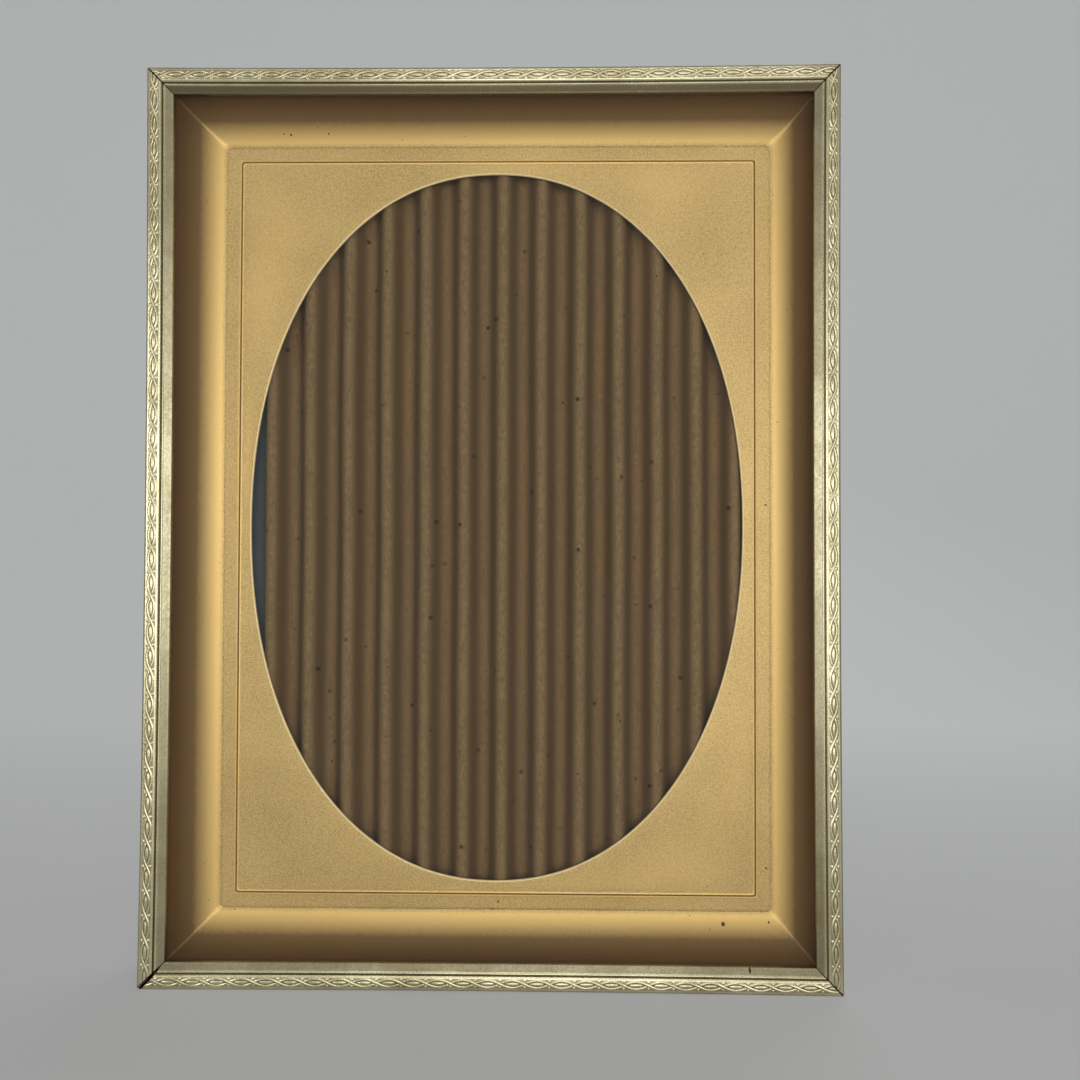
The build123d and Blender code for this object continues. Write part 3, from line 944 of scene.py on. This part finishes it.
# stage: floor that curves up into a wall behind
stageStyle = {
    "wide": 3.0,
    "ahead": -2.2,
    "wallAt": 0.75,
    "bend": 0.35,
    "bendSteps": 14,
    "high": 1.9,
    "tone": tint(0.62, 0.625, 0.635),
    "shade": tint(0.58, 0.585, 0.595),
    # painted shade: the floor's seen tone is set darker than the wall's
    "floorSeen": tint(0.39, 0.395, 0.39),
    "wallSeen": tint(0.55, 0.56, 0.555),
    "rise": (0.0, 0.4),
    # how even the tone is, and where ahead of the part it gets quite even
    "even": 0.65,
    "evenAt": (-0.04, -0.16),
    "grain": 0.05,
}


def makeStage(style):
    bm = bmesh.new()
    half = style["wide"] / 2
    verts = [bm.verts.new((-half, style["ahead"], 0)), bm.verts.new((half, style["ahead"], 0))]
    edges = [bm.edges.new(verts)]
    outline = [(style["wallAt"] - style["bend"], 0)]
    for k in range(1, style["bendSteps"] + 1):
        turn = math.pi / 2 * k / style["bendSteps"]
        outline.append((outline[0][0] + style["bend"] * math.sin(turn), style["bend"] * (1 - math.cos(turn))))
    outline.append((style["wallAt"], style["high"]))
    at = (style["ahead"], 0)
    for spot in outline:
        fresh, edges = growEdges(bm, edges)
        bmesh.ops.translate(bm, verts=fresh, vec=(0, spot[0] - at[0], spot[1] - at[1]))
        at = spot
    bmesh.ops.recalc_face_normals(bm, faces=bm.faces)
    mesh = bpy.data.meshes.new("studioSweep")
    bm.to_mesh(mesh)
    bm.free()
    mesh.shade_smooth()
    material, shader, place = newFinish("paleSweep", Roughness=0.9)
    place.grain(style["grain"], 3).blend(style["shade"], style["tone"]).into(shader, "Base Color")
    # what looks at the sweep, straight or mirrored, sees an even tone with the object's shadow in it
    tree = material.node_tree
    along = place.node("ShaderNodeSeparateXYZ", None, {"Vector": place}, out=1)
    tone = along.fade(*style["rise"]).blend(style["floorSeen"], style["wallSeen"])
    glow = place.node("ShaderNodeEmission", None, {"Color": tone})
    lit = Wire(tree, shader.outputs[0])
    even = along.fade(*style["evenAt"]).larger(style["even"])
    seen = place.node("ShaderNodeMixShader", None, {0: lookedAt(tree) * even, 1: lit, 2: glow})
    seen.into(tree.nodes["Material Output"], "Surface")
    mesh.materials.append(material)
    sweep = bpy.data.objects.new("studioSweep", mesh)
    bpy.context.scene.collection.objects.link(sweep)


makeStage(stageStyle)

# soft lights: place, width and height in metres, and power in watts
lightRig = {
    "softLeft": ((-0.56, -0.70, 0.14), 0.26, 0.42, 1.25),
    "softRight": ((0.41, -0.70, 0.14), 0.26, 0.42, 0.95),
    "softTop": ((0.0, -0.75, 0.75), 0.50, 0.20, 0.7),
    "softFront": ((0.10, -0.61, 0.10), 0.30, 0.30, 2.35),
    "softGlint": ((0.015, -0.40, 0.085), 0.20, 0.20, 0.24),
    "softBack": ((0.22, 0.42, 0.50), 0.40, 0.30, 1.2),
}
# the lamp that gives the gilt its glints stays out of the pane's mirror
paneLeftOut = bpy.data.collections.new("paneLeftOut")
paneLeftOut.objects.link(bpy.data.objects["glassPaneSheet"])
paneLeftOut.collection_objects[0].light_linking.link_state = "EXCLUDE"
aim = Vector((0, 0, middle))
for lightName, (spot, wide, high, power) in lightRig.items():
    lamp = bpy.data.lights.new(lightName, "AREA")
    lamp.shape = "RECTANGLE"
    lamp.size = wide
    lamp.size_y = high
    lamp.energy = power
    lampObject = bpy.data.objects.new(lightName, lamp)
    lampObject.location = spot
    lampObject.rotation_euler = (aim - Vector(spot)).to_track_quat("-Z", "Y").to_euler()
    lampObject.visible_camera = False
    if lightName == "softFront":
        lampObject.visible_glossy = False
    if lightName == "softGlint":
        lampObject.light_linking.receiver_collection = paneLeftOut
    bpy.context.scene.collection.objects.link(lampObject)

airStyle = {"tone": tint(0.97, 0.98, 1.0), "level": 0.12, "seen": tint(0.37, 0.375, 0.375)}
world = bpy.data.worlds.new("studioAir")
world.use_nodes = True
air = world.node_tree.nodes["Background"]
air.inputs["Color"].default_value = airStyle["tone"]
air.inputs["Strength"].default_value = airStyle["level"]
looking = lookedAt(world.node_tree)
haze = looking.node("ShaderNodeBackground", None, {"Color": airStyle["seen"]})
plain = Wire(world.node_tree, air.outputs[0])
mixed = looking.node("ShaderNodeMixShader", None, {0: looking, 1: plain, 2: haze})
mixed.into(world.node_tree.nodes["World Output"], "Surface")
bpy.context.scene.world = world

# camera where the photograph was taken
cameraStyle = {
    "spot": (15.45 * mm, -250.7 * mm, 94.70 * mm),
    "turn": (91.292, -0.175, 1.031),
    "lens": 36.03,
    "sensor": 36.0,
    "nearest": 0.005,
}
cameraData = bpy.data.cameras.new("frontCamera")
cameraData.lens = cameraStyle["lens"]
cameraData.sensor_width = cameraStyle["sensor"]
cameraData.clip_start = cameraStyle["nearest"]
camera = bpy.data.objects.new("frontCamera", cameraData)
camera.location = cameraStyle["spot"]
camera.rotation_euler = [math.radians(angle) for angle in cameraStyle["turn"]]
bpy.context.scene.collection.objects.link(camera)
bpy.context.scene.camera = camera
bpy.context.scene.view_settings.view_transform = "Standard"
print("stage, lights and camera set")
